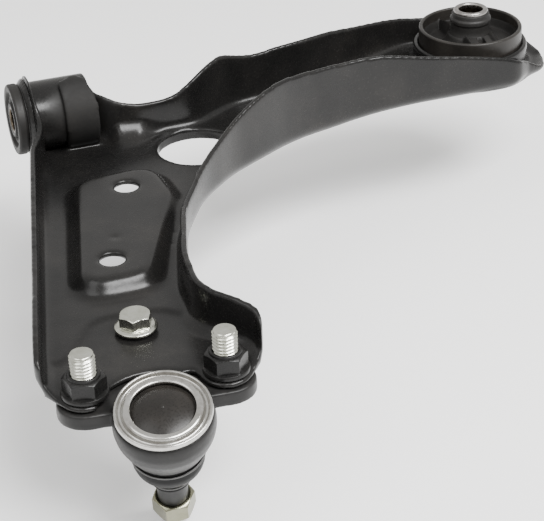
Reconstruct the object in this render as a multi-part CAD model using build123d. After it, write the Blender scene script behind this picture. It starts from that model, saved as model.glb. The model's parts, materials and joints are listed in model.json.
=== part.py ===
from build123d import *
import math
import os

# Automotive lower control arm, left-hand or right-hand by mirroring.
# Frame: origin at the centre of the front bush, +X along the swing axis to the
# rear bush, +Z up, ball joint towards -Y. All sizes in millimetres.

# ---- pressed arm ------------------------------------------------------------
sheet = 3.5
floor_top = -18.0
floor_bottom = floor_top - sheet
land_rise = 3.5
outer_bend = 9.0
inner_bend = outer_bend - sheet

# ---- swing axis and bushes --------------------------------------------------
rear_x = 265.0
tube_r = 20.0
tube_bore_r = 17.6
tube_left = -16.5
tube_right = 22.0
front_shell_r = 17.6
front_shell_wall = 1.2
front_sleeve_r = 9.5
front_bolt_r = 6.25
front_sleeve_half = 22.2
front_lip_r = 20.5
front_lip_end = -22.5
flange_face = -13.0
saddle_left = 4.5
saddle_right = 25.0
saddle_r = 23.0

ring_r = 31.5
ring_wall = 2.5
ring_top = 11.0
ring_bottom = -19.0
collar_wall = 3.4
collar_top = 1.5
hub_r = 13.2
rear_sleeve_r = 10.4
rear_bolt_r = 7.25
rear_sleeve_half = 22.0
bond_gap = 0.05

# ---- ball joint fasteners ---------------------------------------------------
left_bolt_xy = (-46.0, -262.0)
right_bolt_xy = (20.0, -267.0)
centre_bolt_xy = (-9.8, -218.0)
m12_r = 6.0
m10_r = 5.0
seat_drop = 1.2
flange_thick = 8.0

# ---- ball joint -------------------------------------------------------------
joint_top = (-17.5, -291.5, -15.5)
joint_up = (-0.094, -0.271, 0.958)
ball_depth = 18.0
ball_r = 11.5
ball_clear = 0.09
socket_r = 15.5
crimp_r = 22.8
cap_r = 15.4
mouth_r = 13.0
neck_r = 6.0
stud_end = 79.0
nut_top = 64.0
nut_height = 10.4

joint_frame = Plane(origin=joint_top, z_dir=joint_up)


def in_joint(shape):
    """Move a shape modelled on the joint axis (top of ring at zero) into place."""
    return joint_frame.location * shape


def revolved(points):
    """Solid of revolution about Z from (radius, height) points."""
    return revolve(Plane.XZ * make_face(Polyline(*points, close=True)), Axis.Z)


def cylinder(radius, bottom, top, at=(0, 0)):
    """Upright cylinder between two heights."""
    return Pos(at[0], at[1], (bottom + top) / 2) * Cylinder(radius, top - bottom)


def hexagon(across_flats, bottom, top, at=(0, 0), turn=0):
    """Upright hexagonal prism with lightly chamfered corners."""
    sketch = RegularPolygon(across_flats / 2, 6, major_radius=False, rotation=turn)
    prism = Pos(at[0], at[1], bottom) * extrude(sketch, top - bottom)
    reach = across_flats * 0.545
    guard = revolved([
        (0, bottom), (reach, bottom), (reach + 1.2, bottom + 1.2),
        (reach + 1.2, top - 1.2), (reach, top), (0, top),
    ])
    return prism & (Pos(at[0], at[1], 0) * guard)


def rounded(corners):
    """Closed wire through (x, y, radius) corners, each rounded."""
    points = [(x, y) for x, y, r in corners]
    count = len(corners)
    path = []
    starts = []
    ends = []
    for i in range(count):
        here = Vector(*points[i])
        before = Vector(*points[i - 1])
        after = Vector(*points[(i + 1) % count])
        radius = corners[i][2]
        back = (before - here).normalized()
        ahead = (after - here).normalized()
        half = math.radians(back.get_angle(ahead) / 2)
        if radius == 0:
            starts.append(here)
            ends.append(here)
            path.append(None)
            continue
        reach = radius / math.tan(half)
        middle = here + (back + ahead).normalized() * (radius / math.sin(half) - radius)
        starts.append(here + back * reach)
        ends.append(here + ahead * reach)
        path.append(ThreePointArc(here + back * reach, middle, here + ahead * reach))
    edges = []
    for i in range(count):
        if path[i] is not None:
            edges.append(path[i])
        following = starts[(i + 1) % count]
        if (following - ends[i]).length > 0.01:
            edges.append(Line(ends[i], following))
    return Wire(edges)


# Outer face of the walls in plan: corner x, y and rounding radius.
outline = [
    (-13, 29, 10),
    (-13, -29, 24),
    (-22.5, -49, 40),
    (-84, -330, 0),
    (34, -330, 0),
    (43, -254, 20),
    (21.5, -226, 24),
    (24, -196, 80),
    (39, -144, 110),
    (60, -107, 90),
    (86, -82, 90),
    (134, -53, 120),
    (178, -42, 120),
    (279, -42, 12),
    (289.5, -33, 9),
    (304, -28, 14),
    (313.5, -10, 22),
    (313.5, 30, 26),
    (283, 47, 34),
    (232, 45, 60),
    (196, 30, 80),
    (160, 19, 100),
    (110, 9, 40),
    (82, -7.5, 30),
    (50, -8.5, 20),
    (28, -7, 9),
    (25.6, 29, 13),
]

# Raised pad with the two locating holes.
pad_height = 8.0
pad_draft = 38.0
pad_outline = [
    (-1, -69, 11),
    (41, -66.5, 12),
    (42.5, -98, 14),
    (8, -180, 12),
    (-26.5, -180, 10),
]
pad_holes = [(-6.0, -161.0), (21.5, -86.0)]
pad_hole_r = 6.4
pad_dimple = (1.0, -140.0)

# Seat pressed down for the ball joint flange.
seat_outline = [
    (-64, -233, 6),
    (-48, -233, 12),
    (-27, -201, 16),
    (9, -204, 18),
    (30, -240, 10),
    (60, -252, 0),
    (60, -340, 0),
    (-96, -340, 0),
    (-96, -240, 0),
]

lightening_hole = (76.2, -38.6)
lightening_r = 22.8

# Heights of the wall tops above the floor, along X or along Y.
left_heights = [(-340, 0), (-272, 0), (-264, 3), (-256, 8.5), (-246, 14), (-200, 18),
                (-120, 21), (-60, 23), (-34, 25), (-26, 29), (-19, 36), (-12, 40.6),
                (-5, 43.2), (1, 43.4), (6, 41.6), (11, 37.5), (17, 31), (24, 25), (32, 22), (60, 22)]
right_heights = [(-340, 0), (-276, 0), (-271, 3), (-266, 9), (-261, 16), (-252, 20.5), (-236, 22.5),
                 (-190, 24), (-150, 22.5), (-138, 22)]
near_heights = [(20, 20.5), (38, 20.5), (50, 20.5), (57, 21.8), (66, 24.8), (76, 28.6), (92, 35),
                (114, 40.8), (134, 40.4), (172, 38.4), (190, 37.2), (202, 35.2), (218, 32),
                (241, 28.2), (262, 24), (276, 20), (285, 15.5), (292, 11.5), (300, 7), (306, 5), (320, 4)]
far_heights = [(-20, 20), (10, 20), (17, 22.5), (22, 25.5), (25, 27), (28, 27.4), (34, 24.8), (42, 21.3),
               (52, 19.2), (62, 19.2), (72, 21.2),
               (79, 25), (87, 29.6), (96, 33), (104, 34.4), (114, 31.8), (126, 29.2), (141, 29.6),
               (160, 30.2), (184, 29.4), (204, 26.8), (220, 24.4), (252, 19.3), (270, 15.5),
               (284, 11), (297, 7.5), (306, 6), (320, 5.5)]


def plan_prism(wire, bottom, top):
    """Upright prism over a closed plan wire."""
    return Pos(0, 0, bottom) * extrude(make_face(wire), top - bottom)


def polygon_prism(points, bottom, top):
    """Upright prism over a straight-sided plan polygon."""
    return Pos(0, 0, bottom) * extrude(make_face(Polyline(*points, close=True)), top - bottom)


def above(heights, plane):
    """Everything above a smooth wall-top curve drawn on a side plane."""
    curve = [(u, floor_top + h) for u, h in heights]
    start = curve[0]
    end = curve[-1]
    cap = Polyline(end, (end[0], 90), (start[0], 90), start)
    face = plane * make_face(Wire([Spline(*curve), *cap.edges()]))
    return extrude(face, 420, both=True)


def floor_ramp(level):
    """Solid below the floor that lifts it smoothly around the rear bush."""
    low = (150, level)
    high = (222, level + land_rise)
    rise = Spline(low, high, tangents=((1, 0), (1, 0)))
    rest = Polyline(high, (340, high[1]), (340, level - 12), (150, level - 12), low)
    return extrude(Plane.XZ * make_face(Wire([rise, *rest.edges()])), 120, both=True)


def pressing_blank(wire, bottom, bend):
    """Filled tray with a rounded bottom edge and the lifted rear floor."""
    body = plan_prism(wire, bottom, 60) - floor_ramp(bottom)
    low = [e for e in body.edges() if e.bounding_box().max.Z < bottom + land_rise + 0.1]
    across = [e for e in low if abs((e @ 1 - e @ 0).X) < 0.01 and (e @ 0).X > 100]
    return fillet([e for e in low if e not in across], bend)


def hulled(circles, bottom, top):
    """Plate whose outline wraps tightly around circles given as (x, y, radius)."""
    edges = [(Pos(x, y) * Edge.make_circle(r)) for x, y, r in circles]
    return Pos(0, 0, bottom) * extrude(make_hull(edges), top - bottom)


def along_x(radius, start, stop):
    """Cylinder on the swing axis."""
    return Pos((start + stop) / 2, 0, 0) * Rot(0, 90, 0) * Cylinder(radius, stop - start)


def revolved_x(points):
    """Solid of revolution about the swing axis from (x, radius) points."""
    return revolve(Plane.XY * make_face(Polyline(*points, close=True)), Axis.X)


def pad_step(shrink, bottom):
    """Raised pad with drafted sides, its whole outline drawn in by shrink."""
    spread = pad_height * math.tan(math.radians(pad_draft)) - shrink
    foot = offset(make_face(rounded(pad_outline)), spread).faces()[0].outer_wire()
    return Pos(0, 0, bottom) * extrude(make_face(foot), pad_height, taper=pad_draft)


def wall_top_cutters():
    """Volumes above the wall tops, one per stretch of wall."""
    sky = 90
    left_zone = [(-130, 60), (-6, 60), (-6, -20), (-14, -56), (-50, -236), (-57, -262),
                 (-72, -345), (-130, -345)]
    far_zone = [(-6, 60), (-6, -6), (30, -30), (60, -36), (84, -30), (110, -20), (200, -4),
                (340, -4), (340, 60)]
    near_zone = [(26, -146), (26, -100), (60, -40), (84, -32), (110, -22), (200, -4),
                 (340, -4), (340, -90), (120, -90), (70, -146)]
    right_zone = [(4, -146), (70, -146), (70, -345), (4, -345)]
    return [
        above(left_heights, Plane.YZ) & polygon_prism(left_zone, floor_top, sky),
        above(far_heights, Plane.XZ) & polygon_prism(far_zone, floor_top, sky),
        above(near_heights, Plane.XZ) & polygon_prism(near_zone, floor_top, sky),
        above(right_heights, Plane.YZ) & polygon_prism(right_zone, floor_top, sky),
    ]


def front_trim():
    """Cuts the pressing back to two ears and a scallop around the ball joint."""
    strip = polygon_prism([
        (-130, -246), (-46, -246), (-46, -261), (20, -261), (20, -250), (60, -250), (60, -345),
        (-130, -345),
    ], -40, 60)
    left_ear = hulled([(*left_bolt_xy, 12.5), (-51, -243, 16), (-40, -240, 20)], -41, 61)
    right_ear = hulled([(*right_bolt_xy, 12.5), (27, -255, 14.5), (20, -240, 18)], -41, 61)
    return (strip - left_ear - right_ear) + cylinder(28, -40, 60, (-17, -283))


def arm_pressing():
    """The single pressed shell with its pad, collar, seat and holes."""
    outer_wire = rounded(outline)
    inner_wire = offset(make_face(outer_wire), -sheet).faces()[0].outer_wire()
    outer = pressing_blank(outer_wire, floor_bottom, outer_bend)
    inner = pressing_blank(inner_wire, floor_top, inner_bend)
    seat = rounded(seat_outline)
    within = plan_prism(inner_wire, floor_bottom - 3, floor_top + 3)
    outer += plan_prism(seat, floor_bottom - seat_drop, floor_top) & within
    inner += plan_prism(seat, floor_top - seat_drop, floor_top + 0.1) & within
    outer -= pad_step(1.7, floor_bottom)
    inner -= pad_step(0, floor_top)
    shell = outer - inner
    for cutter in wall_top_cutters():
        shell -= cutter
    shell -= front_trim()
    rear = Pos(rear_x, 0, 0)
    land = floor_top + land_rise
    shell += rear * revolved([
        (ring_r, land - sheet), (ring_r + collar_wall + 4, land - sheet),
        (ring_r + collar_wall + 4, land), (ring_r + collar_wall + 1, land + 1.4),
        (ring_r + collar_wall, land + 4), (ring_r + collar_wall, collar_top),
        (ring_r, collar_top),
    ])
    shell -= rear * cylinder(ring_r, -60, 60)
    shell += saddle()
    shell -= along_x(tube_r, -40, tube_right)
    shell -= cylinder(lightening_r, -40, 10, lightening_hole)
    shell += lightening_lip()
    for hole in pad_holes:
        shell -= cylinder(pad_hole_r, -40, 10, hole)
    shell -= Pos(*pad_dimple, floor_top + pad_height + 4.2) * Sphere(5)
    shell -= cylinder(m12_r + 0.4, -40, 0, left_bolt_xy)
    shell -= cylinder(m12_r + 0.4, -40, 0, right_bolt_xy)
    shell -= cylinder(m10_r + 0.4, -40, 0, centre_bolt_xy)
    return shell


def saddle():
    """Part of the flange that wraps the front of the tube at its inner end."""
    sleeve = along_x(saddle_r, saddle_left, saddle_right) - along_x(tube_r, -60, 60)
    front = Pos(0, -30, 0) * Box(200, 68, 200)
    mouth = polygon_prism([
        (saddle_left - 1, -7.5), (saddle_left, -6.5), (11.5, -2.5), (17.5, -2.5), (20.8, -6), (22, -12),
        (saddle_right, -20), (saddle_right + 1, 30), (saddle_left - 1, 30),
    ], 0, 40)
    return (sleeve & front) - mouth


def lightening_lip():
    """Turned-down rim of the lightening hole."""
    return Pos(*lightening_hole, 0) * revolved([
        (lightening_r, floor_bottom - 4), (lightening_r + 3, floor_bottom - 4),
        (lightening_r + 3, floor_bottom + 0.5), (lightening_r + 5, floor_bottom + 0.5),
        (lightening_r + 5, floor_top - 0.2), (lightening_r + 3, floor_top - 0.6),
        (lightening_r + 0.8, floor_top - 2), (lightening_r, floor_top - 4),
    ])


# ---- front bush -------------------------------------------------------------
def front_eye_tube():
    return along_x(tube_r, tube_left, tube_right) - along_x(tube_bore_r, -60, 60)


def front_eye_weld():
    """Fillet weld between the tube and the outer face of the flange."""
    toe = flange_face
    return revolved_x([(toe, tube_r), (toe, tube_r + 3), (toe - 1.4, tube_r + 1.9), (toe - 3, tube_r)])


def front_bush_shell():
    shell = along_x(front_shell_r, tube_left - 1, tube_right - 0.5)
    return shell - along_x(front_shell_r - front_shell_wall, -60, 60)


def front_bush_rubber():
    """Bonded rubber with a wide outer lip that covers the flange side."""
    inside = front_shell_r - front_shell_wall
    bonded_r = front_sleeve_r + bond_gap
    start = tube_left - 1
    return revolved_x([
        (front_lip_end + 1.5, bonded_r), (front_lip_end + 1.5, 14),
        (front_lip_end, 15.5), (front_lip_end, front_lip_r - 1.4), (front_lip_end + 1.2, front_lip_r),
        (start - 0.6, front_lip_r), (start, front_lip_r - 0.8), (start, inside),
        (tube_right - 1.5, inside), (tube_right - 1.5, bonded_r),
    ])


def front_bush_sleeve():
    half = front_sleeve_half
    return along_x(front_sleeve_r, -half, half) - along_x(front_bolt_r, -60, 60)


# ---- rear bush --------------------------------------------------------------
def rear_bush_ring():
    """Outer steel sleeve pressed into the collar of the arm."""
    ring = cylinder(ring_r, ring_bottom, ring_top, (rear_x, 0))
    return ring - cylinder(ring_r - ring_wall, -60, 60, (rear_x, 0))


def rear_bush_rubber():
    """Rubber spider: hub, dished webs and two stiff sectors with slots."""
    outer = ring_r - ring_wall
    bore = rear_sleeve_r + bond_gap
    body = revolved([
        (bore, -17), (hub_r, -17), (hub_r + 3, -9), (outer, -13),
        (outer, 4), (hub_r + 4, 0), (hub_r, 8), (hub_r, 16), (bore, 18),
    ])
    block = Pos(0, 0, -3) * Box(17, 2 * outer, 20)
    block = block & cylinder(outer, -13, 7.5)
    body += block - cylinder(bore, -30, 30)
    for side in (-1, 1):
        body -= Pos(0, side * (hub_r + 4.5), 0) * Box(3.4, 7, 60)
    return Pos(rear_x, 0, 0) * body


def rear_bush_sleeve():
    half = rear_sleeve_half
    sleeve = cylinder(rear_sleeve_r, -half, half, (rear_x, 0))
    return sleeve - cylinder(rear_bolt_r, -60, 60, (rear_x, 0))


# ---- ball joint -------------------------------------------------------------
def ball_joint_housing():
    """Forged housing: cup for the ball and a three-hole flange under the arm."""
    top = floor_bottom - seat_drop
    plate = hulled([
        (*left_bolt_xy, 14), (*right_bolt_xy, 14), (*centre_bolt_xy, 14),
    ], top - flange_thick, top)
    cup = revolved([
        (0, -3), (22.4, -3), (23.4, -5), (23.8, -10), (23, -15), (21, -20),
        (18.4, -25), (17.6, -27), (15.4, -27.4), (15.4, -31), (0, -31),
    ])
    cavity = revolved([
        (0, 5), (60, 5), (60, -3), (socket_r, -3), (socket_r, -21), (12.9, -24.6),
        (mouth_r, -24.6), (mouth_r, -40), (0, -40),
    ])
    body = plate + in_joint(cup)
    body -= in_joint(cavity)
    body -= in_joint(revolved([(22.4, 20), (22.4, -3), (80, -3), (80, 20)])) & in_joint(cylinder(30, -3, 20))
    for spot, radius in ((left_bolt_xy, m12_r), (right_bolt_xy, m12_r), (centre_bolt_xy, m10_r)):
        body -= cylinder(radius + 0.3, -60, 0, spot)
    return body


def crimp_ring():
    """Bright swaged ring with two ridges that holds the cap."""
    return in_joint(revolved([
        (cap_r, -3), (22.4, -3), (22.8, -1.4), (21.9, 0), (20.6, -0.1), (19.2, -1.2),
        (17.8, 0.4), (16.6, 0.8), (cap_r, 0),
    ]))


def end_cap():
    """Black domed cap over the ball."""
    return in_joint(revolved([
        (0, 1.4), (4, 1.2), (8, 0.6), (12, -0.5), (cap_r, -2), (cap_r, -3), (socket_r, -3),
        (socket_r, -5), (0, -5),
    ]))


def ball_seat():
    """Polymer socket around the ball."""
    block = revolved([
        (0, -5), (socket_r, -5), (socket_r, -21), (12.9, -24.6), (0, -24.6),
    ])
    hollow = Pos(0, 0, -ball_depth) * Sphere(ball_r + ball_clear)
    return in_joint(block - hollow)


def ball_stud():
    """Ball, neck, boot seat, taper and threaded end in one forging."""
    shank = revolved([
        (0, -ball_depth), (neck_r, -ball_depth), (neck_r, -38), (7.6, -41.5), (7.6, -51),
        (7.2, -nut_top), (m12_r, -nut_top), (m12_r, -stud_end + 1.5), (4.6, -stud_end),
        (0, -stud_end),
    ])
    return in_joint(shank + Pos(0, 0, -ball_depth) * Sphere(ball_r))


def dust_boot():
    """Rubber boot from the housing groove to the seat on the stud."""
    return in_joint(revolved([
        (15.4, -27.6), (16.6, -27.6), (16.9, -29.2), (16.6, -31), (17, -34), (15.6, -39),
        (12.6, -43), (9.8, -45.6), (9.4, -46.4), (9.4, -48.4), (9.8, -50), (7.9, -50),
        (7.9, -45.4), (10.6, -42.6), (13.8, -38.4), (15, -34), (14, -31.4), (15.4, -31),
    ]))


def boot_clips():
    """Wire rings clamping the boot on the housing and on the stud."""
    upper = revolved([(16.95, -28.6), (18, -28.6), (18, -30), (16.95, -30)])
    lower = revolved([(9.45, -46.6), (10.5, -46.6), (10.5, -48.2), (9.45, -48.2)])
    return in_joint(upper), in_joint(lower)


def stud_nut():
    """Hexagon nut on the end of the ball stud."""
    low = -nut_top - nut_height
    return in_joint(hexagon(18, low, -nut_top) - cylinder(m12_r, -100, 0))


# ---- fasteners of the ball joint --------------------------------------------
def clamp_bolt(spot):
    """M12 stud bolt with a low round head, its thread standing above the pressing."""
    under = floor_bottom - seat_drop - flange_thick
    bolt = cylinder(m12_r, under - 0.1, 2, spot) + cylinder(m12_r - 0.9, 2, 3, spot)
    return bolt + cylinder(7.4, under - 3, under - 2.4, spot) + cylinder(8.4, under - 2.4, under, spot)


def clamp_nut(spot, turn):
    """Black flange nut with a thin locking collar."""
    seat = floor_top - seat_drop
    nut = cylinder(11.3, seat, seat + 2.2, spot) + hexagon(18, seat + 1, seat + 10.2, spot, turn)
    nut += cylinder(7.6, seat + 10, seat + 11.6, spot)
    return nut - cylinder(m12_r, -60, 60, spot)


def centre_bolt():
    """M10 flange bolt, head on top of the pressing."""
    seat = floor_top - seat_drop + 1.6
    bolt = cylinder(10.6, seat, seat + 2, centre_bolt_xy)
    bolt += hexagon(14.6, seat + 1, seat + 8.2, centre_bolt_xy, 8)
    return bolt + cylinder(m10_r, -45, seat + 0.5, centre_bolt_xy)


def centre_washer():
    seat = floor_top - seat_drop
    return cylinder(9.6, seat, seat + 1.6, centre_bolt_xy) - cylinder(m10_r, -60, 60, centre_bolt_xy)


def centre_nut():
    """Nut of the centre bolt, under the housing flange."""
    under = floor_bottom - seat_drop - flange_thick
    return hexagon(16, under - 8.4, under, centre_bolt_xy, 8) - cylinder(m10_r, -60, 60, centre_bolt_xy)


def main():
    os.makedirs("parts", exist_ok=True)
    upper_clip, lower_clip = boot_clips()
    nodes = {
        "arm_pressing": arm_pressing(),
        "front_eye_tube": front_eye_tube(),
        "front_eye_weld": front_eye_weld(),
        "front_bush_shell": front_bush_shell(),
        "front_bush_rubber": front_bush_rubber(),
        "front_bush_sleeve": front_bush_sleeve(),
        "rear_bush_ring": rear_bush_ring(),
        "rear_bush_rubber": rear_bush_rubber(),
        "rear_bush_sleeve": rear_bush_sleeve(),
        "ball_joint_housing": ball_joint_housing(),
        "crimp_ring": crimp_ring(),
        "end_cap": end_cap(),
        "ball_seat": ball_seat(),
        "ball_stud": ball_stud(),
        "dust_boot": dust_boot(),
        "boot_clip_upper": upper_clip,
        "boot_clip_lower": lower_clip,
        "stud_nut": stud_nut(),
        "clamp_bolt_left": clamp_bolt(left_bolt_xy),
        "clamp_bolt_right": clamp_bolt(right_bolt_xy),
        "clamp_nut_left": clamp_nut(left_bolt_xy, 4),
        "clamp_nut_right": clamp_nut(right_bolt_xy, 20),
        "centre_bolt": centre_bolt(),
        "centre_washer": centre_washer(),
        "centre_nut": centre_nut(),
    }
    for name, solid in nodes.items():
        export_step(solid, "parts/" + name + ".step")


if __name__ == "__main__":
    main()
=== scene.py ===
import bpy
import json
import math
import numpy as np
from mathutils import Matrix, Quaternion, Vector


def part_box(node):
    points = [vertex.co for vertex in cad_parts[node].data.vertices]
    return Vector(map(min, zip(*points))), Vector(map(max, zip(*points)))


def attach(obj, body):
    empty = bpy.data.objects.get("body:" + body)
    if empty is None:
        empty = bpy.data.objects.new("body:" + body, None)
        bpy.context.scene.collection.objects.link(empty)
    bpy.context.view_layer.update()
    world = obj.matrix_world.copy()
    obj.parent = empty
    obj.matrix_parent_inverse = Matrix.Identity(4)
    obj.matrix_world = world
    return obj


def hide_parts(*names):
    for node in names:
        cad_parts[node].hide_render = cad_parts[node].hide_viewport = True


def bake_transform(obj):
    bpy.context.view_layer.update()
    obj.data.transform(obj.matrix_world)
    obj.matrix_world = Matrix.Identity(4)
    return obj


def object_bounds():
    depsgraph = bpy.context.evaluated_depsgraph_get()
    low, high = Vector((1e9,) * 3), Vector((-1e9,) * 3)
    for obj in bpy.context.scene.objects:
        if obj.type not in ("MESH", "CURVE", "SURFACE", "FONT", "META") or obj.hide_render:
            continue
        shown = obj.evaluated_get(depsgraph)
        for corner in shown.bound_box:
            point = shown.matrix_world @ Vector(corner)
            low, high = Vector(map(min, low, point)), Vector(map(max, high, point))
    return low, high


# Lower control arm. Shapes are written in millimetres in the frame of the CAD
# model and scaled to metres when a mesh is made.

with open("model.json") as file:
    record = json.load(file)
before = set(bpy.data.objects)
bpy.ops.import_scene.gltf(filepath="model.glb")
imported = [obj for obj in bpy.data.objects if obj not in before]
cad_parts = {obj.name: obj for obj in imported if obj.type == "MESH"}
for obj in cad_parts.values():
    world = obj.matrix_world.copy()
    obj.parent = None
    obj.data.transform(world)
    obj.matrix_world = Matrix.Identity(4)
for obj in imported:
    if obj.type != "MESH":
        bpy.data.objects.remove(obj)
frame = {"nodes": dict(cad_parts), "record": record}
cad_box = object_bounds()
nodes = frame["nodes"]
MM = 0.001

# centre of the ball joint's upper rim and the way its axis points, and the rear bush's centre
BALL_JOINT_TOP = Vector((-17.5, -291.5, -15.5))
BALL_JOINT_UP = Vector((-0.094, -0.271, 0.958)).normalized()
REAR_BUSH = Vector((265.0, 0.0, 0.0))


def box_mm(node):
    """Lowest and highest corner of a CAD node, in millimetres."""
    low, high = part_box(node)
    return Vector(low) / MM, Vector(high) / MM


def upright(x, y, z=0.0):
    """Frame with its axis along +Z through a point."""
    return Matrix.Translation(Vector((x, y, z)))


def along(origin, direction):
    """Frame whose Z runs along a direction."""
    turn = Vector(direction).to_track_quat("Z", "Y").to_matrix().to_4x4()
    return Matrix.Translation(Vector(origin)) @ turn


SWING = along((0, 0, 0), (1, 0, 0))
JOINT = along(BALL_JOINT_TOP, BALL_JOINT_UP)


def smooth_step(t):
    """Smooth 0 to 1 step."""
    t = np.clip(t, 0, 1)
    return t * t * (3 - 2 * t)


# ---- mesh helpers -----------------------------------------------------------
def make_object(name, points, faces, place=None, sharp_deg=38):
    """Mesh object from millimetre points, placed by a millimetre frame."""
    mesh = bpy.data.meshes.new(name)
    if place is not None:
        turn = np.array(place.to_3x3())
        points = np.asarray(points) @ turn.T + np.array(place.translation)
    mesh.from_pydata((np.asarray(points) * MM).tolist(), [], faces)
    mesh.validate()
    obj = bpy.data.objects.new(name, mesh)
    bpy.context.scene.collection.objects.link(obj)
    smooth(obj, sharp_deg)
    return obj


def smooth(obj, sharp_deg):
    """Smooth shading, with edges sharper than the angle kept crisp."""
    obj.data.shade_smooth()
    obj.data.set_sharp_from_angle(angle=math.radians(sharp_deg))
    weighted = obj.modifiers.new("weighted", "WEIGHTED_NORMAL")
    weighted.keep_sharp = True


def softened(profile, radius, steps=4):
    """Closed (r, z) profile with its corners rounded, all but those on the axis.

    A third value at a corner is its own radius.
    """
    rounded = []
    count = len(profile)
    for i in range(count):
        here = np.array(profile[i][:2], float)
        reach_wanted = profile[i][2] if len(profile[i]) > 2 else radius
        back = np.array(profile[i - 1][:2], float) - here
        ahead = np.array(profile[(i + 1) % count][:2], float) - here
        shortest = min(np.linalg.norm(back), np.linalg.norm(ahead))
        reach = min(reach_wanted, 0.48 * shortest)
        if here[0] < 1e-6 or reach < 0.02:
            rounded.append(tuple(here))
            continue
        start = here + back / np.linalg.norm(back) * reach
        end = here + ahead / np.linalg.norm(ahead) * reach
        for k in range(steps + 1):
            t = k / steps
            point = (1 - t) ** 2 * start + 2 * t * (1 - t) * here + t * t * end
            rounded.append(tuple(point))
    return rounded


def lathe(name, profile, place, segments=144, radius=None, turn=0.0, sharp_deg=38):
    """Solid of revolution of a closed (r, z) profile.

    radius(angles, r, z) may reshape a ring, and turn (degrees) is where its first point lies.
    """
    angles = np.radians(turn) + np.arange(segments) * 2 * math.pi / segments
    points = []
    rings = []
    for r, z in profile:
        if r < 1e-6:
            rings.append([len(points)])
            points.append((0.0, 0.0, z))
            continue
        reach = np.full(segments, r) if radius is None else radius(angles, r, z)
        first = len(points)
        rings.append(list(range(first, first + segments)))
        points.extend(zip(reach * np.cos(angles), reach * np.sin(angles),
                          np.full(segments, z)))
    faces = []
    for i in range(len(rings)):
        a = rings[i]
        b = rings[(i + 1) % len(rings)]
        if len(a) == 1 and len(b) == 1:
            continue
        for k in range(segments):
            n = (k + 1) % segments
            if len(a) == 1:
                faces.append((a[0], b[k], b[n]))
            elif len(b) == 1:
                faces.append((a[n], a[k], b[0]))
            else:
                faces.append((a[n], a[k], b[k], b[n]))
    obj = make_object(name, points, faces, place, sharp_deg)
    outward(obj)
    return obj


def outward(obj):
    """Turns the faces of a closed mesh so that its volume is positive."""
    mesh = obj.data
    mesh.calc_loop_triangles()
    co = np.zeros(len(mesh.vertices) * 3)
    mesh.vertices.foreach_get("co", co)
    co = co.reshape(-1, 3)
    tri = np.zeros(len(mesh.loop_triangles) * 3, int)
    mesh.loop_triangles.foreach_get("vertices", tri)
    a, b, c = (co[tri.reshape(-1, 3)[:, i]] for i in range(3))
    if np.einsum("ij,ij->i", a, np.cross(b, c)).sum() < 0:
        mesh.flip_normals()


def finish(obj, body, slot, node):
    """Gives a piece its slot's material and its body, and hides the CAD node it stands for.

    A piece that spans a joint gets no body here.
    """
    obj.data.materials.clear()
    obj.data.materials.append(MATERIALS[slot])
    if body:
        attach(obj, body)
    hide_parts(node)


def hex_limit(across, turn, bottom=-math.inf):
    """Radius rule that clips the rings above a height to a hexagon."""
    def rule(angles, r, z):
        local = np.mod(angles - math.radians(turn), math.pi / 3) - math.pi / 6
        flat = across / 2 / np.cos(local)
        return np.minimum(r, flat) if z >= bottom else np.full(len(angles), r)
    return rule


def neighbours_mean(co, edges, counts):
    """Mean of each vertex's neighbours."""
    total = np.zeros_like(co)
    for axis in range(3):
        total[:, axis] = np.bincount(edges[:, 0], co[edges[:, 1], axis], len(co))
        total[:, axis] += np.bincount(edges[:, 1], co[edges[:, 0], axis], len(co))
    return total / counts[:, None]


SHRINK_REPAY = 0.35  # part of each second round that is undone, which keeps the volume


def even_strength(co, k):
    """Relaxing that is the same everywhere."""
    return np.full(len(co), 0.5)


def relaxed_copy(name, node, voxel, rounds, strength=even_strength, reshape=None):
    """Copy of a CAD mesh, remeshed finely, its edges relaxed into pressed or forged radii.

    strength(co, k) weighs round k at each vertex, and reshape(co) moves the vertices last.
    """
    obj = bpy.data.objects.new(name, nodes[node].data.copy())
    bpy.context.scene.collection.objects.link(obj)
    remesh = obj.modifiers.new("remesh", "REMESH")
    remesh.mode = "VOXEL"
    remesh.voxel_size = voxel * MM
    graph = bpy.context.evaluated_depsgraph_get()
    mesh = bpy.data.meshes.new_from_object(obj.evaluated_get(graph))
    obj.modifiers.clear()
    obj.data = mesh
    co = np.zeros(len(mesh.vertices) * 3)
    mesh.vertices.foreach_get("co", co)
    co = co.reshape(-1, 3)
    edges = np.zeros(len(mesh.edges) * 2, int)
    mesh.edges.foreach_get("vertices", edges)
    edges = edges.reshape(-1, 2)
    counts = np.maximum(np.bincount(edges.ravel(), minlength=len(co)), 1)
    for k in range(rounds):
        mean = neighbours_mean(co, edges, counts)
        weight = strength(co / MM, k)[:, None]
        co = co + weight * (mean - co)
        if k % 2 == 1:
            mean = neighbours_mean(co, edges, counts)
            co = co - SHRINK_REPAY * weight * (mean - co)
    if reshape:
        co = reshape(co / MM) * MM
    mesh.vertices.foreach_set("co", co.ravel())
    mesh.update()
    obj.data.shade_smooth()
    return obj


# ---- materials --------------------------------------------------------------
def ramp(tree, source, stops):
    """Colour ramp over a 0 to 1 value."""
    node = tree.nodes.new("ShaderNodeValToRGB")
    elements = node.color_ramp.elements
    elements[0].position, elements[0].color = stops[0][0], (*stops[0][1], 1)
    elements[1].position, elements[1].color = stops[-1][0], (*stops[-1][1], 1)
    for place, colour in stops[1:-1]:
        elements.new(place).color = (*colour, 1)
    tree.links.new(source, node.inputs["Fac"])
    return node.outputs["Color"]


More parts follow.
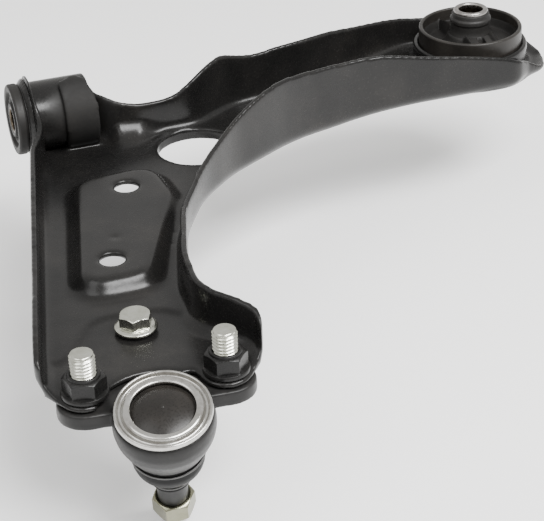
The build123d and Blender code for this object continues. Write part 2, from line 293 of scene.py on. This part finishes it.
def noise(tree, scale, detail=4.0, rough=0.55, stretch=None):
    """Object-space noise; scale is in features per metre."""
    coords = tree.nodes.new("ShaderNodeTexCoord")
    source = coords.outputs["Object"]
    if stretch:
        mapping = tree.nodes.new("ShaderNodeMapping")
        mapping.inputs["Scale"].default_value = stretch
        tree.links.new(source, mapping.inputs["Vector"])
        source = mapping.outputs["Vector"]
    node = tree.nodes.new("ShaderNodeTexNoise")
    node.inputs["Scale"].default_value = scale
    node.inputs["Detail"].default_value = detail
    node.inputs["Roughness"].default_value = rough
    tree.links.new(source, node.inputs["Vector"])
    return node.outputs["Fac"]


def spread(tree, source, low, high, start=0.3, stop=0.7):
    """Maps a value from start..stop to low..high, clamped."""
    node = tree.nodes.new("ShaderNodeMapRange")
    node.inputs["From Min"].default_value = start
    node.inputs["From Max"].default_value = stop
    node.inputs["To Min"].default_value = low
    node.inputs["To Max"].default_value = high
    tree.links.new(source, node.inputs["Value"])
    return node.outputs["Result"]


def bumps(tree, layers):
    """Stacked bump nodes from (height output, strength, distance in mm)."""
    normal = None
    for height, strength, distance in layers:
        node = tree.nodes.new("ShaderNodeBump")
        node.inputs["Strength"].default_value = strength
        node.inputs["Distance"].default_value = distance * MM
        tree.links.new(height, node.inputs["Height"])
        if normal:
            tree.links.new(normal, node.inputs["Normal"])
        normal = node.outputs["Normal"]
    return normal


def near(tree, centre, inner, outer, amount):
    """Value that falls from amount to zero between two distances (mm) from a place."""
    coords = tree.nodes.new("ShaderNodeTexCoord")
    gap = tree.nodes.new("ShaderNodeVectorMath")
    gap.operation = "DISTANCE"
    gap.inputs[1].default_value = Vector(centre) * MM
    tree.links.new(coords.outputs["Object"], gap.inputs[0])
    return spread(tree, gap.outputs["Value"], amount, 0.0, inner * MM, outer * MM)


def below(tree, start, stop):
    """Value that rises from 0 to 1 between two heights (mm), going down."""
    coords = tree.nodes.new("ShaderNodeTexCoord")
    axes = tree.nodes.new("ShaderNodeSeparateXYZ")
    tree.links.new(coords.outputs["Object"], axes.inputs["Vector"])
    return spread(tree, axes.outputs["Z"], 1.0, 0.0, stop * MM, start * MM)


def added(tree, a, b):
    """Sum of two values."""
    node = tree.nodes.new("ShaderNodeMath")
    tree.links.new(a, node.inputs[0])
    tree.links.new(b, node.inputs[1])
    return node.outputs["Value"]


def tinted(tree, colour, amount, tint):
    """Colour multiplied by a tint where the amount is 1."""
    node = tree.nodes.new("ShaderNodeMix")
    node.data_type = "RGBA"
    node.blend_type = "MULTIPLY"
    tree.links.new(amount, node.inputs["Factor"])
    tree.links.new(colour, node.inputs[6])
    node.inputs[7].default_value = (*tint, 1)
    return node.outputs[2]


GRAIN_SHARE = 0.35  # how much the fine noise adds to the broad one in the colour


def surface(name, stops, rough, bump, metallic=0.0, blotch=60.0, grain=900.0,
            specular=0.5, stretch=None, dull=None, tint_below=None):
    """Procedural finish: blotchy colour, varying roughness and layered bump.

    blotch and grain are in features per metre, and each layer of bump is (features per metre,
    strength, depth in mm). dull is (place, inner, outer, added roughness), and tint_below is
    (start height, full height, tint), a tint that makes the colour darker towards the bottom.
    """
    mat = bpy.data.materials.new(name)
    mat.use_nodes = True
    tree = mat.node_tree
    shader = tree.nodes["Principled BSDF"]
    broad = noise(tree, blotch, 5.0, 0.6)
    fine = noise(tree, grain, 3.0, 0.5, stretch)
    both = tree.nodes.new("ShaderNodeMath")
    both.operation = "MULTIPLY_ADD"
    tree.links.new(fine, both.inputs[0])
    both.inputs[1].default_value = GRAIN_SHARE
    tree.links.new(broad, both.inputs[2])
    shift = spread(tree, both.outputs["Value"], 0.0, 1.0, 0.42, 0.95)
    colour = ramp(tree, shift, stops)
    # Colour multiplied by a tint below a given height, so it is darker towards the bottom.
    if tint_below:
        colour = tinted(tree, colour, below(tree, *tint_below[:2]), tint_below[2])
    tree.links.new(colour, shader.inputs["Base Color"])
    roughness = spread(tree, fine, *rough)
    if dull:
        roughness = added(tree, roughness, near(tree, *dull))
    tree.links.new(roughness, shader.inputs["Roughness"])
    shader.inputs["Metallic"].default_value = metallic
    shader.inputs["Specular IOR Level"].default_value = specular
    layers = [(noise(tree, scale, 3.0, 0.5, stretch), strength, depth)
              for scale, strength, depth in bump]
    tree.links.new(bumps(tree, layers), shader.inputs["Normal"])
    return mat


def grey(value, warm=0.0):
    """Linear grey, tinted warm or cool."""
    return (value * (1 + warm), value, value * (1 - warm))


EYE_DULL = ((17, -16, 6), 13, 24, 0.45)
# Sleeve steel tinted darker and browner below 20.6 mm, fully from 18.6 mm down, so only the rear
# sleeve's top end keeps its plain colour.
SLEEVE_TINT_BELOW = (20.6, 18.6, (0.32, 0.27, 0.21))
# Zinc tinted darker and yellower below -55 mm, fully from -75 mm down, which takes in the stud
# nut.
NUT_TINT_BELOW = (-55, -75, (0.42, 0.41, 0.33))
MATERIALS = {
    "ecoat": surface(
        "ecoat_black", [(0.0, grey(0.005)), (0.5, grey(0.009, 0.04)), (1.0, grey(0.015, 0.08))],
        rough=(0.20, 0.29), bump=((200.0, 0.07, 0.10), (1500.0, 0.03, 0.02)),
        blotch=28, grain=700, specular=0.25, dull=EYE_DULL),
    "bush_steel": surface(
        "bush_steel_painted",
        [(0.0, grey(0.012)), (0.6, grey(0.022)), (1.0, grey(0.04, 0.05))],
        rough=(0.2, 0.3), bump=((300.0, 0.12, 0.1), (1800.0, 0.15, 0.03)),
        blotch=50, grain=900, specular=0.45),
    "rubber": surface(
        "rubber_black",
        [(0.0, grey(0.008, 0.05)), (0.6, grey(0.013, 0.06)), (1.0, grey(0.026, 0.1))],
        rough=(0.42, 0.6), bump=((500.0, 0.2, 0.12), (2600.0, 0.3, 0.04)),
        blotch=70, grain=1400, specular=0.27),
    "sleeve_steel": surface(
        "sleeve_steel",
        [(0.0, grey(0.2, 0.05)), (0.6, grey(0.34, 0.04)), (1.0, grey(0.48, 0.02))],
        rough=(0.24, 0.38), bump=((900.0, 0.05, 0.03),),
        metallic=1.0, blotch=120, grain=700, tint_below=SLEEVE_TINT_BELOW),
    "ring_steel": surface(
        "ring_steel_phosphated",
        [(0.0, grey(0.008, 0.10)), (0.5, grey(0.014, 0.12)), (1.0, grey(0.028, 0.12))],
        rough=(0.30, 0.46), bump=((420.0, 0.18, 0.1), (2000.0, 0.25, 0.04)),
        blotch=45, grain=1100, specular=0.3),
    "forged_steel": surface(
        "forged_steel_coated",
        [(0.0, grey(0.008, 0.0)), (0.5, grey(0.013, 0.03)), (1.0, grey(0.022, 0.06))],
        rough=(0.30, 0.44), bump=((240.0, 0.28, 0.3), (1100.0, 0.3, 0.08)),
        blotch=60, grain=800, specular=0.22),
    "zinc_bright": surface(
        "zinc_bright",
        [(0.0, (0.36, 0.345, 0.32)), (0.5, (0.50, 0.49, 0.465)), (1.0, (0.60, 0.60, 0.58))],
        rough=(0.16, 0.24), bump=((500.0, 0.03, 0.03), (1500.0, 0.02, 0.01)),
        metallic=1.0, blotch=90, grain=500),
    "cap_black": surface(
        "cap_black_gloss",
        [(0.0, grey(0.007, 0.1)), (0.5, grey(0.011, 0.12)), (1.0, grey(0.018, 0.14))],
        rough=(0.24, 0.34), bump=((200.0, 0.06, 0.12), (1500.0, 0.03, 0.02)),
        blotch=60, grain=900, specular=0.26),
    "seat_polymer": surface(
        "seat_polymer", [(0.0, grey(0.55, 0.04)), (1.0, grey(0.68, 0.03))],
        rough=(0.35, 0.5), bump=((900.0, 0.1, 0.05),), blotch=80, grain=1200),
    "stud_steel": surface(
        "stud_steel_dark", [(0.0, grey(0.007)), (0.5, grey(0.012)), (1.0, grey(0.022, 0.02))],
        rough=(0.3, 0.45), bump=((900.0, 0.2, 0.06),),
        blotch=90, grain=1300, specular=0.25, stretch=(1, 1, 4)),
    "boot_rubber": surface(
        "boot_rubber", [(0.0, grey(0.004)), (0.6, grey(0.006)), (1.0, grey(0.011, 0.04))],
        rough=(0.36, 0.5), bump=((500.0, 0.15, 0.1), (2400.0, 0.2, 0.03)),
        blotch=80, grain=1300, specular=0.12),
    "clip_steel": surface(
        "clip_steel", [(0.0, grey(0.05)), (1.0, grey(0.12, 0.02))],
        rough=(0.3, 0.45), bump=((1500.0, 0.2, 0.03),), metallic=1.0, blotch=90, grain=1500),
    "zinc_yellow": surface(
        "zinc_yellow",
        [(0.0, (0.46, 0.465, 0.40)), (0.45, (0.56, 0.565, 0.50)),
         (0.8, (0.62, 0.625, 0.57)), (1.0, (0.70, 0.70, 0.66))],
        rough=(0.17, 0.27), bump=((450.0, 0.03, 0.03), (1500.0, 0.02, 0.01)),
        metallic=1.0, blotch=130, grain=500, tint_below=NUT_TINT_BELOW),
    "nut_black": surface(
        "nut_black_phosphate",
        [(0.0, grey(0.006, 0.02)), (0.6, grey(0.010, 0.03)), (1.0, grey(0.018, 0.05))],
        rough=(0.24, 0.36), bump=((600.0, 0.08, 0.04), (1800.0, 0.06, 0.02)),
        blotch=90, grain=900, specular=0.22),
}


# ---- the pressed arm --------------------------------------------------------
FLOOR_TOP = -18.0
PAD_TOP = FLOOR_TOP + 8.0
PAD_CORNERS = [(-4, -66), (44, -63.5), (46, -98), (10.5, -183), (-29.5, -183)]
PAD_HOLES = [(-6, -161), (21.5, -86)]
LIGHTENING_HOLE = (76.2, -38.6)
EVEN_ROUNDS = 14  # the first rounds relax the whole arm
WRAP_ROUNDS = 30  # up to here the sheet around the tube is relaxed as well
TIP_THINNING = 1.5
FAR_SWEEP = 8.0


def edge_distance(x, y, corners):
    """Distance from plan points to the outline through the corners."""
    nearest = np.full(len(x), np.inf)
    for i in range(len(corners)):
        a = np.array(corners[i], float)
        b = np.array(corners[(i + 1) % len(corners)], float)
        run = b - a
        t = np.clip(((x - a[0]) * run[0] + (y - a[1]) * run[1]) / (run @ run), 0, 1)
        nearest = np.minimum(nearest, np.hypot(x - a[0] - t * run[0], y - a[1] - t * run[1]))
    return nearest


def pressing_strength(co, k):
    """More relaxing along the foot of the pad and around the tube, as on deep-drawn steel."""
    if k < EVEN_ROUNDS:
        return even_strength(co, k)
    x, y, z = co.T
    low = z < PAD_TOP + 1.5
    pad = np.exp(-(edge_distance(x, y, PAD_CORNERS) / 7.0) ** 2)
    hole = np.min([np.hypot(x - px, y - py) for px, py in PAD_HOLES], axis=0)
    pad = pad * np.clip((hole - 8) / 4, 0, 1) * low
    wrap = np.exp(-((x - 25) / 6.0) ** 2 - ((y + 20) / 9.0) ** 2) * (z < 8)
    foot = np.exp(-((y + 22) / 5.0) ** 2) * (x > 3) * (x < 32) * (z < -4)
    return 0.5 * np.maximum(pad, np.maximum(wrap, foot) * (k < WRAP_ROUNDS))


def drawn_shape(co):
    """Thins the flange tip at the eye and sweeps the floor up to the far wall."""
    x, y, z = co.T
    inner = smooth_step((x + 12.4) / 1.6) * (x < -8) * (np.abs(y) < 24)
    co[:, 0] -= TIP_THINNING * inner * smooth_step((z - 8) / 12)
    along_wall = smooth_step((x - 29) / 9) * smooth_step((86 - x) / 22) * (y < -2)
    gap = np.clip((-11.5 - y) / 17, 0, 1)
    hole_x, hole_y = LIGHTENING_HOLE
    clear = smooth_step((np.hypot(x - hole_x, y - hole_y) - 28) / 9)
    low = np.clip((-4 - z) / 14, 0, 1)
    co[:, 2] += FAR_SWEEP * (1 - gap) ** 2 * along_wall * clear * low
    return co


def pressed_arm():
    """The one shell of pressed steel."""
    obj = relaxed_copy("pressed_arm", "arm_pressing", voxel=0.95, rounds=46,
                       strength=pressing_strength, reshape=drawn_shape)
    finish(obj, "arm", "ecoat", "arm_pressing")


# ---- front bush -------------------------------------------------------------
def front_bush():
    """Tube, weld, outer shell, rubber and inner sleeve on the swing axis."""
    low, high = box_mm("front_eye_tube")
    tube_left, tube_right = low.x, high.x
    tube_r = high.z
    bore = 17.6
    shell_bore = 16.4
    bolt_bore = 6.25
    tube = lathe("front_tube", softened([
        (bore, tube_left, 0.8), (tube_r, tube_left, 0.8), (tube_r, tube_right, 1.0),
        (bore, tube_right, 0.8),
    ], 0.8), SWING)
    finish(tube, "arm", "ecoat", "front_eye_tube")

    flange = box_mm("front_eye_weld")[1].x

    def ripple(angles, r, z):
        """Beads of the weld, which grow away from the tube."""
        if r <= tube_r + 0.2:
            return np.full(len(angles), r)
        wave = 0.07 * np.sin(angles * 44) + 0.08 * np.sin(angles * 13 + 1.3)
        return r + wave * (r - tube_r) / 2.4

    weld = lathe("front_weld", softened([
        (tube_r - 0.02, flange - 0.02), (tube_r + 2.6, flange - 0.02, 0.3),
        (tube_r + 1.9, flange - 1.3, 0.7), (tube_r - 0.02, flange - 2.9, 0.3),
    ], 0.2), SWING, 288, ripple)
    finish(weld, "arm", "ecoat", "front_eye_weld")

    shell = lathe("front_shell", softened([
        (shell_bore, tube_left - 1), (bore - 0.02, tube_left - 1),
        (bore - 0.02, tube_right - 0.5), (shell_bore, tube_right - 0.5),
    ], 0.3), SWING)
    finish(shell, "arm", "bush_steel", "front_bush_shell")

    low, high = box_mm("front_bush_rubber")
    left = low.x
    lip_r = high.z
    sleeve_r = box_mm("front_bush_sleeve")[1].z
    rubber = lathe("front_rubber", softened([
        (sleeve_r, left + 0.29, 0.02), (7.6, left + 0.29, 0.02), (7.6, left + 0.1, 0.05),
        (9.6, left + 0.02, 0.3), (10.6, left + 2.6, 0.6), (11.6, left + 2.6, 0.5),
        (12.6, left + 1.5, 0.6), (13.4, left + 1.5, 0.4), (14.4, left + 2.3, 0.5),
        (15.2, left + 2.2, 0.5), (16.2, left + 0.2, 0.7), (lip_r - 0.9, left, 0.5),
        (lip_r, left + 1.0, 0.6), (lip_r, tube_left - 1.2, 0.5),
        (lip_r - 0.8, tube_left - 0.02, 0.4), (shell_bore - 0.02, tube_left - 0.02, 0.05),
        (shell_bore - 0.02, tube_right - 1.5, 0.5), (13.2, tube_right - 3.6, 1.2),
        (sleeve_r, tube_right - 1.6, 0.4),
    ], 0.4), SWING)
    finish(rubber, "arm", "rubber", "front_bush_rubber")

    half = box_mm("front_bush_sleeve")[1].x
    sleeve = lathe("front_sleeve", softened([
        (bolt_bore, -half, 0.9), (sleeve_r - 0.02, -half, 0.8),
        (sleeve_r - 0.02, half, 0.8), (bolt_bore, half, 0.9),
    ], 0.8), SWING)
    finish(sleeve, "chassis_sleeve", "sleeve_steel", "front_bush_sleeve")


# ---- rear bush --------------------------------------------------------------
HUB_R = 13.0
WEB_LIP = 5.2


def web_heights(radius, angle):
    """Top and bottom heights of the rear rubber at a polar place.

    The dished web rises to a lip at the ring and to the hub. A stiff block with a rib on each
    side and a slot in it runs out along +Y and -Y.
    """
    x = radius * np.cos(angle)
    y = radius * np.sin(angle)
    wall = np.clip((radius - 24.5) / 4.4, 0, 1)
    hub = np.clip((15.8 - radius) / 2.6, 0, 1)
    floor = -2.5 + 9.5 * np.exp(-np.clip(radius - HUB_R, 0, 30) / 3.4)
    top = floor + (WEB_LIP - floor) * wall ** 2.2
    outside = np.clip((np.abs(y) - 9) / 3, 0, 1)
    block = smooth_step((10.2 - np.abs(x)) / 2.0) * outside
    block_top = 9.2 - 0.3 * np.clip(radius - HUB_R, 0, 16)
    top = np.maximum(top, floor + (block_top - floor) * block)
    rib = np.exp(-((np.abs(x) - 8.6) / 0.8) ** 2) * outside
    top = top + 1.2 * rib - 1.5 * smooth_step((7.6 - np.abs(x)) / 1.2) * block
    slot = smooth_step((2.4 - np.abs(x)) / 0.7) * smooth_step((np.abs(y) - 13.4) / 0.6)
    slot = slot * smooth_step((18.8 - np.abs(y)) / 0.9)
    top = top - 12.0 * slot
    bottom = -13.0 + 2.0 * np.sin(np.clip((radius - 14) / 13, 0, 1) * math.pi)
    top = np.maximum(top, 6.5 * smooth_step(hub))
    bottom = bottom - 3.5 * smooth_step(hub)
    return top, np.minimum(bottom, top - 1.2)


def rear_web(index, count, inner, outer):
    """One sector of the rear rubber, closed all round."""
    across = 44
    around = 56
    radii = np.linspace(inner, outer, across)
    half = math.pi / count
    angles = np.linspace(index, index + 1, around) * 2 * half + half
    grid_r, grid_a = np.meshgrid(radii, angles, indexing="ij")
    top, bottom = web_heights(grid_r.ravel(), grid_a.ravel())
    x = (grid_r * np.cos(grid_a)).ravel()
    y = (grid_r * np.sin(grid_a)).ravel()
    points = np.concatenate([np.stack([x, y, top], 1), np.stack([x, y, bottom], 1)])
    size = across * around
    faces = []
    for i in range(across - 1):
        for j in range(around - 1):
            a = i * around + j
            faces.append((a, a + around, a + around + 1, a + 1))
            faces.append((size + a, size + a + 1, size + a + around + 1, size + a + around))
    rim = [i * around for i in range(across)]
    rim += [(across - 1) * around + j for j in range(1, around)]
    rim += [i * around + around - 1 for i in range(across - 2, -1, -1)]
    rim += list(range(around - 2, 0, -1))
    for k in range(len(rim)):
        a = rim[k]
        b = rim[(k + 1) % len(rim)]
        faces.append((b, a, size + a, size + b))
    obj = make_object("rear_web_%d" % (index + 1), points, faces, upright(*REAR_BUSH), 60)
    outward(obj)
    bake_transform(obj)
    finish(obj, None, "rubber", "rear_bush_rubber")


def rear_bush():
    """Ring, inner sleeve, hub rubber and the sectors of web between them."""
    low, high = box_mm("rear_bush_ring")
    ring_r = high.x - REAR_BUSH.x
    inside = ring_r - 2.5
    ring = lathe("rear_ring", softened([
        (inside, low.z, 0.6), (ring_r, low.z, 1.2), (ring_r, high.z, 1.3), (inside, high.z, 1.1),
    ], 0.9), upright(*REAR_BUSH), 192)
    finish(ring, "arm", "ring_steel", "rear_bush_ring")
    corner = box_mm("rear_bush_sleeve")[1]
    sleeve_r = corner.x - REAR_BUSH.x
    half = corner.z
    bolt_bore = 7.25
    sleeve = lathe("rear_sleeve_tube", softened([
        (bolt_bore, -half, 1.0), (sleeve_r - 0.02, -half, 1.2),
        (sleeve_r - 0.02, half, 1.6), (bolt_bore, half, 1.4),
    ], 1.0), upright(*REAR_BUSH))
    finish(sleeve, "rear_sleeve", "sleeve_steel", "rear_bush_sleeve")
    hub = lathe("rear_hub_rubber", softened([
        (sleeve_r, -17), (12.6, -16.6), (13.3, -12), (13.3, 5.5, 0.8), (11.9, 9.0, 1.6),
        (11.7, 13.4, 0.5), (12.5, 14.2, 0.5), (12.5, 16.4, 0.7), (11.6, 17.3, 0.5),
        (11.3, 19.8, 0.6), (sleeve_r, 20.2, 0.2),
    ], 0.8), upright(*REAR_BUSH))
    finish(hub, "rear_sleeve", "rubber", "rear_bush_rubber")
    count = 8
    for index in range(count):
        rear_web(index, count, 13.1, inside + 0.05)


# ---- ball joint -------------------------------------------------------------
def ball_joint():
    """Forged cup, crimped ring and cap."""
    cup = relaxed_copy("joint_housing", "ball_joint_housing", voxel=0.7, rounds=12)
    finish(cup, "arm", "forged_steel", "ball_joint_housing")

    ring = lathe("joint_crimp_ring", softened([
        (15.4, -3), (22.3, -3, 0.3), (22.75, -1.5, 0.8), (22.2, -0.1, 0.8), (21.3, 0.0, 0.6),
        (20.3, -1.9, 0.8), (19.2, -1.8, 0.8), (18.1, 0.4, 1.0), (16.7, 0.8, 1.0),
        (14.9, 0.3, 0.6), (14.9, -0.9, 0.2), (15.4, -1.2, 0.1),
    ], 0.5, 5), JOINT, 192)
    finish(ring, "arm", "zinc_bright", "crimp_ring")

    dome = [(0, 1.4), (0.4, 1.36), (0.7, 1.16), (1.2, 1.08), (4, 0.9), (7, 0.4), (10, -0.35),
            (12.5, -1.2), (14.2, -1.9), (15.2, -2.35)]
    edge = softened([(15.38, -2.7, 0.2), (15.38, -4.9, 0.2)], 0.2)
    cap = lathe("joint_cap", dome + edge + [(0, -4.9)], JOINT, 144)
    finish(cap, "arm", "cap_black", "end_cap")


def stud_and_nut():
    """Ball, neck, tapered seat and threaded end of the stud, with its nut."""
    ball_r, ball_z = 11.5, -18
    thread_top = -64.6
    pitch = 1.25
    ball = [(ball_r * math.cos(t), ball_z + ball_r * math.sin(t))
            for t in np.linspace(math.pi / 2, -1.02, 26)]
    ball[0] = (0, ball_z + ball_r)
    tail = softened([
        (6.0, -28.6, 0.8), (6.0, -38, 1.5), (7.6, -41.5, 0.8), (7.6, -51, 0.2),
        (7.2, -64, 0.2), (6.1, -64.2, 0.2),
    ], 0.4)

    def threaded(angles, r, z):
        """Thread below its top, as a wave that climbs once per pitch."""
        if z > thread_top or r < 5.9:
            return np.full(len(angles), r)
        return r - 0.35 * (0.5 + 0.5 * np.cos(2 * math.pi * z / pitch - angles))

    thread = [(6.0, z) for z in np.arange(thread_top - 0.1, -78.0, -0.18)]
    tip = [(5.6, -78.2), (4.9, -79.0), (0, -79.0)]
    stud = lathe("joint_stud", ball + tail + thread + tip, JOINT, 96, threaded)
    finish(stud, "stud", "stud_steel", "ball_stud")

    low, top = -74.4, -64.02
    turn = 12
    rule = hex_limit(18, turn)
    cone = [(10.5 - 1.9 * (1 - t) ** 1.5, low + 1.5 * t) for t in np.linspace(0, 1, 8)]
    crown = [(10.5 - 2.1 * t ** 1.5, top - 1.6 + 1.6 * t) for t in np.linspace(0, 1, 9)]
    profile = [(6.05, low + 0.6), (6.8, low)] + cone + crown + [(7.4, top), (6.05, top - 0.5)]
    nut = lathe("joint_nut", profile, JOINT, 144, rule, turn)
    finish(nut, "stud", "zinc_yellow", "stud_nut")


def dust_boot():
    """Rubber boot in two pieces that meet halfway."""
    outer = [(15.5, -27.62), (16.6, -27.7), (16.85, -28.6), (16.85, -30.0), (16.6, -31),
             (17.0, -33), (16.9, -35), (16.3, -37.2), (15.2, -39.4), (13.7, -41.4),
             (12.2, -43.0), (10.8, -44.4), (9.8, -45.6), (9.4, -46.5), (9.4, -48.3),
             (9.75, -49.2), (9.7, -49.9)]
    inner = [(8.0, -49.9), (7.75, -48), (7.75, -46), (8.6, -44.8), (10.4, -42.8),
             (12.2, -40.8), (13.6, -38.8), (14.6, -36.6), (15.0, -34.6), (14.8, -32.6),
             (14.3, -31.4), (15.5, -31.0)]
    cut = -38.0

    def side(points, above):
        """The points above the cut, or those below it."""
        return [p for p in points if (p[1] > cut) == above]

    outer_cut = [(15.95, cut)]
    inner_cut = [(13.95, cut)]
    upper = side(outer, True) + outer_cut + inner_cut + side(inner, True)
    lower = outer_cut + side(outer, False) + side(inner, False) + inner_cut
    for name, profile, a, b, start, stop in (
        ("boot_upper", upper, "arm", "boot", -30.0, -37.5),
        ("boot_lower", lower, "boot", "boot_ring", -38.1, -44.5),
    ):
        obj = lathe(name, profile, JOINT, 120, sharp_deg=80)
        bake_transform(obj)
        finish(obj, None, "boot_rubber", "dust_boot")
    for name, node, body, reach, mid in (
        ("clip_upper", "boot_clip_upper", "arm", 17.35, -29.3),
        ("clip_lower", "boot_clip_lower", "boot_ring", 9.9, -47.4),
    ):
        wire = [(reach + 0.5 * math.cos(t), mid + 0.62 * math.sin(t))
                for t in np.linspace(0, 2 * math.pi, 12, endpoint=False)]
        clip = lathe(name, wire, JOINT, 96)
        finish(clip, body, "clip_steel", node)


# ---- fasteners --------------------------------------------------------------
def stud_bolt(name, node, spot, turn):
    """Stud bolt with a rolled thread and a chamfered, slightly dished tip.

    turn (degrees) is where its first point lies, so that the two threads start apart.
    """
    low, high = box_mm(node)
    pitch = 1.75
    top = high.z

    def threaded(angles, r, z):
        """Thread on the rod, as flat crests and pointed roots that climb once per pitch."""
        if r < 5.7 or z < -30 or z > top - 0.9:
            return np.full(len(angles), r)
        wave = np.abs(np.mod(z / pitch - angles / (2 * math.pi), 1) * 2 - 1)
        return r - 0.95 * np.clip(wave * 1.25 - 0.12, 0, 1)

    head = softened([(0, low.z), (7.4, low.z, 0.4), (8.4, low.z + 0.9, 0.5),
                     (8.4, low.z + 2.95, 0.2), (6.0, low.z + 3.0, 0.2)], 0.3)
    rod = [(6.0, z) for z in np.arange(low.z + 3.2, top - 1.2, 0.146)]
    end = [(5.75, top - 0.95), (5.35, top - 0.35), (4.95, top - 0.02), (4.4, top),
           (3.4, top - 0.12), (1.6, top - 0.22), (0, top - 0.25)]
    bolt = lathe(name, head + rod + end, upright(*spot), 128, threaded, turn)
    finish(bolt, "arm", "zinc_yellow", node)


def flange_nut(name, node, spot, turn):
    """Flange nut with coned flange, chamfered hexagon and a crimped collar."""
    low, high = box_mm(node)
    z = low.z
    rim = (high.x - low.x) / 2
    rule = hex_limit(18, turn, z + 2.6)
    crown = [(10.6 - 2.0 * t ** 1.6, z + 8.5 + 1.7 * t) for t in np.linspace(0, 1, 9)]
    skirt = softened([(6.05, z + 0.1), (rim - 0.4, z, 0.3), (rim, z + 0.6, 0.5),
                      (rim, z + 1.6, 0.5), (10.9, z + 2.5, 0.3)], 0.3)
    collar = softened([(7.9, z + 10.2, 0.1), (7.7, z + 11.3, 0.4), (6.9, z + 11.6, 0.3),
                       (6.05, z + 11.3, 0.2)], 0.3)
    profile = skirt + [(10.6, z + 2.62)] + crown + collar
    nut = lathe(name, profile, upright(*spot), 144, rule, turn)
    finish(nut, "arm", "nut_black", node)


def centre_fastener(spot):
    """Flange bolt with a dished head, its thin washer, and the nut below."""
    low, high = box_mm("centre_bolt")
    washer_low, washer_high = box_mm("centre_washer")
    seat = washer_high.z
    rim = (high.x - low.x) / 2
    turn = 8
    rule = hex_limit(14.6, turn, seat + 2.3)
    crown = [(8.5 - 1.5 * t ** 1.6, high.z - 1.3 + 1.3 * t) for t in np.linspace(0, 1, 9)]
    dish = [(5.6, high.z - 0.02), (5.0, high.z - 0.5), (2.0, high.z - 0.7), (0, high.z - 0.7)]
    skirt = softened([(5.0, seat), (rim - 0.4, seat, 0.3), (rim, seat + 0.5, 0.4),
                      (rim, seat + 1.3, 0.5), (8.9, seat + 2.2, 0.3)], 0.3)
    shank = [(0, low.z), (4.2, low.z), (4.95, low.z + 0.9)]
    profile = shank + skirt + [(8.5, seat + 2.32)] + crown + dish
    bolt = lathe("centre_bolt_head", profile, upright(*spot), 144, rule, turn)
    finish(bolt, "arm", "zinc_yellow", "centre_bolt")
    washer = lathe("centre_washer_ring", softened([
        (5.05, washer_low.z), (9.6, washer_low.z), (9.6, washer_high.z), (5.05, washer_high.z),
    ], 0.3), upright(*spot))
    finish(washer, "arm", "nut_black", "centre_washer")
    low, high = box_mm("centre_nut")
    crown = [(9.3 - 1.6 * t ** 1.6, low.z + 1.4 - 1.4 * t) for t in np.linspace(0, 1, 8)]
    nut = lathe("centre_nut_below", [(5.05, high.z), (9.3, high.z)] + crown + [(5.05, low.z)],
                upright(*spot), 144, hex_limit(16, turn), turn)
    finish(nut, "arm", "nut_black", "centre_nut")


def fasteners():
    """The two clamp bolts with their nuts, and the centre bolt."""
    for side, turn in (("left", 43), ("right", 49)):
        low, high = box_mm("clamp_nut_" + side)
        spot = ((low.x + high.x) / 2, (low.y + high.y) / 2)
        stud_bolt("stud_bolt_" + side, "clamp_bolt_" + side, spot, turn)
        flange_nut("flange_nut_" + side, "clamp_nut_" + side, spot, turn)
    low, high = box_mm("centre_washer")
    centre_fastener(((low.x + high.x) / 2, (low.y + high.y) / 2))


def repaint_cad():
    """Carried-over CAD nodes take their procedural finish by slot."""
    slots = {entry["node"]: entry["material_slot"] for entry in frame["record"]["subparts"]}
    for name, obj in nodes.items():
        for place in obj.material_slots:
            place.material = MATERIALS[slots[name]]


# ---- studio -----------------------------------------------------------------
def studio():
    """Pale floor, near-white air, a wide key lamp in front and a weak fill."""
    floor_z = cad_box[0][2] - 4 * MM
    reach = 6.0
    mesh = bpy.data.meshes.new("studio_floor")
    corners = [(-reach, -reach, floor_z), (reach, -reach, floor_z),
               (reach, reach, floor_z), (-reach, reach, floor_z)]
    mesh.from_pydata(corners, [], [(0, 1, 2, 3)])
    floor = bpy.data.objects.new("studio_floor", mesh)
    bpy.context.scene.collection.objects.link(floor)
    paint = bpy.data.materials.new("studio_paint")
    paint.use_nodes = True
    shader = paint.node_tree.nodes["Principled BSDF"].inputs
    shader["Base Color"].default_value = (0.95, 0.95, 0.95, 1)
    shader["Roughness"].default_value = 0.9
    shader["Emission Color"].default_value = (1, 1, 1, 1)
    shader["Emission Strength"].default_value = 0.15
    mesh.materials.append(paint)

    world = bpy.data.worlds.new("studio_air")
    world.use_nodes = True
    air = world.node_tree.nodes["Background"].inputs
    air["Color"].default_value = (1.0, 0.99, 0.97, 1)
    air["Strength"].default_value = 0.95
    bpy.context.scene.world = world

    middle = Vector((0.1, -0.12, -0.02))
    for name, place, width, height, power in (
        ("key_front", (0.48, -0.87, 1.21), 1.15, 0.5, 49.0),
        ("fill_left", (-0.9, -0.5, 1.3), 0.9, 0.9, 8.0),
    ):
        lamp = bpy.data.lights.new(name, "AREA")
        lamp.shape = "RECTANGLE"
        lamp.size = width
        lamp.size_y = height
        lamp.energy = power
        holder = bpy.data.objects.new(name, lamp)
        holder.location = place
        holder.rotation_euler = (middle - Vector(place)).to_track_quat("-Z", "Y").to_euler()
        bpy.context.scene.collection.objects.link(holder)


def camera():
    """Long lens, high in front of the ball joint, with a slight roll."""
    data = bpy.data.cameras.new("photo_camera")
    data.sensor_width = 36.0
    data.lens = 119.12
    data.clip_start = 0.05
    holder = bpy.data.objects.new("photo_camera", data)
    place = Vector((-0.17498, -0.93897, 0.43679))
    aim = Vector((0.09435, -0.11315, -0.05867))
    roll = Quaternion((0, 0, 1), math.radians(-2.2))
    holder.location = place
    holder.rotation_mode = "QUATERNION"
    holder.rotation_quaternion = (aim - place).to_track_quat("-Z", "Y") @ roll
    bpy.context.scene.collection.objects.link(holder)
    bpy.context.scene.camera = holder


pressed_arm()
front_bush()
rear_bush()
ball_joint()
stud_and_nut()
dust_boot()
fasteners()
repaint_cad()
studio()
camera()
